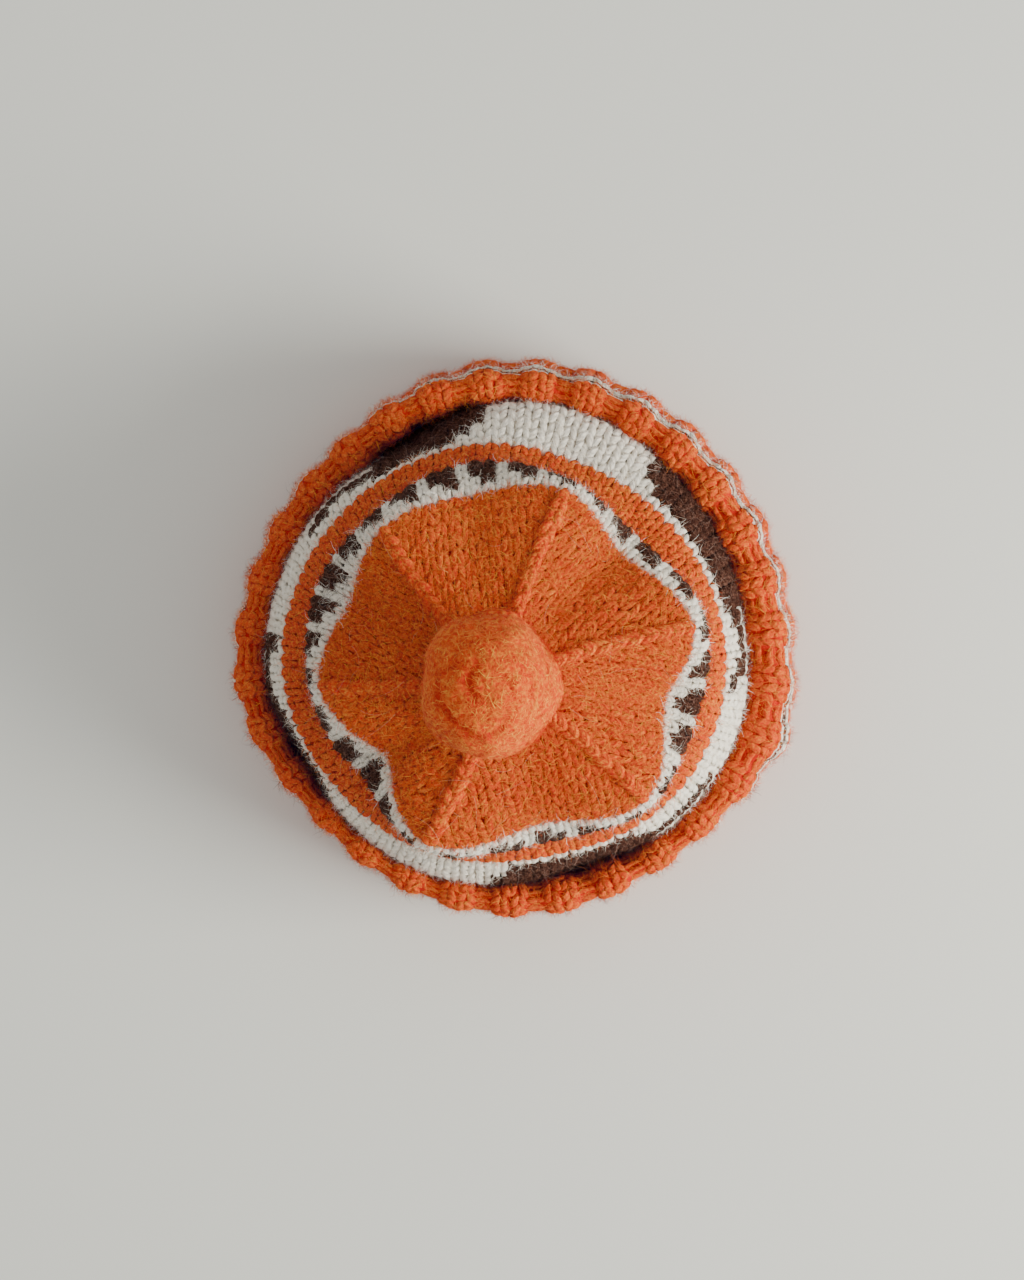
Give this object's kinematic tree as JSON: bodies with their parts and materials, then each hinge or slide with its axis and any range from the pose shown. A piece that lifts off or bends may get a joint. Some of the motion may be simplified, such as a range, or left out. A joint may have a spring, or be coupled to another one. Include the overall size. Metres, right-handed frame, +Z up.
{
  "type": "knitted tam o' shanter with a turned-up ribbed cuff",
  "caption": "Knitted wool hat standing on its thick turned-up ribbed cuff, with a patterned band, a panelled crown and a felted toorie.",
  "frame": {"origin": "centre of the hat's outline on the surface that its cuff stands on", "axes": "+Z up through the crown, +Y towards the back of the hat (the picture's upper edge), +X to the picture's right"},
  "size_m": [0.1766, 0.175, 0.1344],
  "materials": {
    "body_wool": "soft matt two-colour stocking stitch",
    "cuff_wool": "soft matt ribbing",
    "toorie_felt": "fulled felt with a short nap",
    "cream_wool": "soft matt stocking stitch",
    "brown_wool": "soft matt heathered stocking stitch"
  },
  "bodies": {
    "root": {"body": "body_wool", "cuff": "cuff_wool", "toorie": "toorie_felt"}
  },
  "joints": []
}
